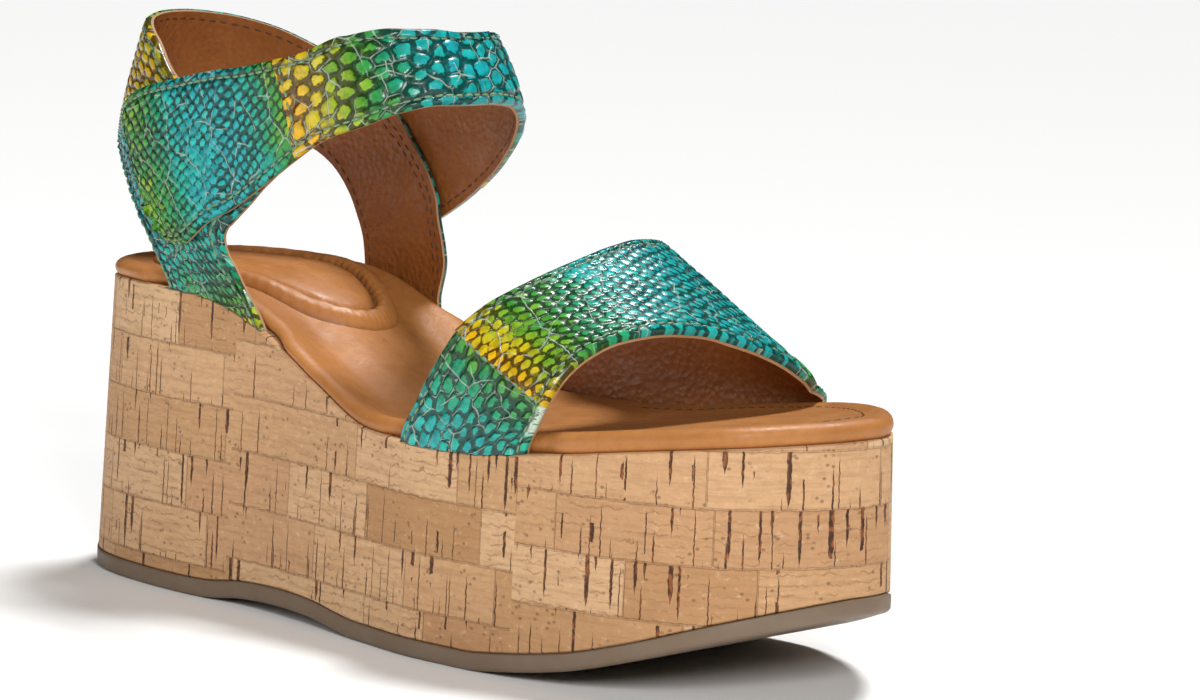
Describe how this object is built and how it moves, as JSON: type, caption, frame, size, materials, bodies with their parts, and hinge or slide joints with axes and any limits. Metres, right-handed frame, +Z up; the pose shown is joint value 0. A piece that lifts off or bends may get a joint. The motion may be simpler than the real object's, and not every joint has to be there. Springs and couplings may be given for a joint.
{
  "type": "platform sandal",
  "caption": "Right-foot platform sandal with a cork wedge, a padded leather footbed, a wide vamp strap and a hook-and-loop ankle strap in snake-embossed leather",
  "frame": {"origin": "on the floor under the middle of the sandal's box", "axes": "+X points to the toe, +Y to the inner side of the right foot, +Z up"},
  "size_m": [0.246, 0.091, 0.1444],
  "materials": {
    "sole_rubber": "smooth taupe rubber, satin",
    "cork": "cork veneer in rows of tiles with dark flecks, matt",
    "tan_leather": "smooth tan leather, fine grain, satin",
    "snake_leather": "glossy leather embossed and printed with teal, green and yellow snake scales",
    "loop_tape": "fuzzy dark teal loop tape",
    "thread": "waxed sewing thread"
  },
  "bodies": {
    "root": {"outsole": "sole_rubber", "cork_wedge": "cork", "footbed": "tan_leather", "heel_pad": "tan_leather", "vamp_strap": "snake_leather", "ankle_upper": "snake_leather"}
  },
  "joints": []
}
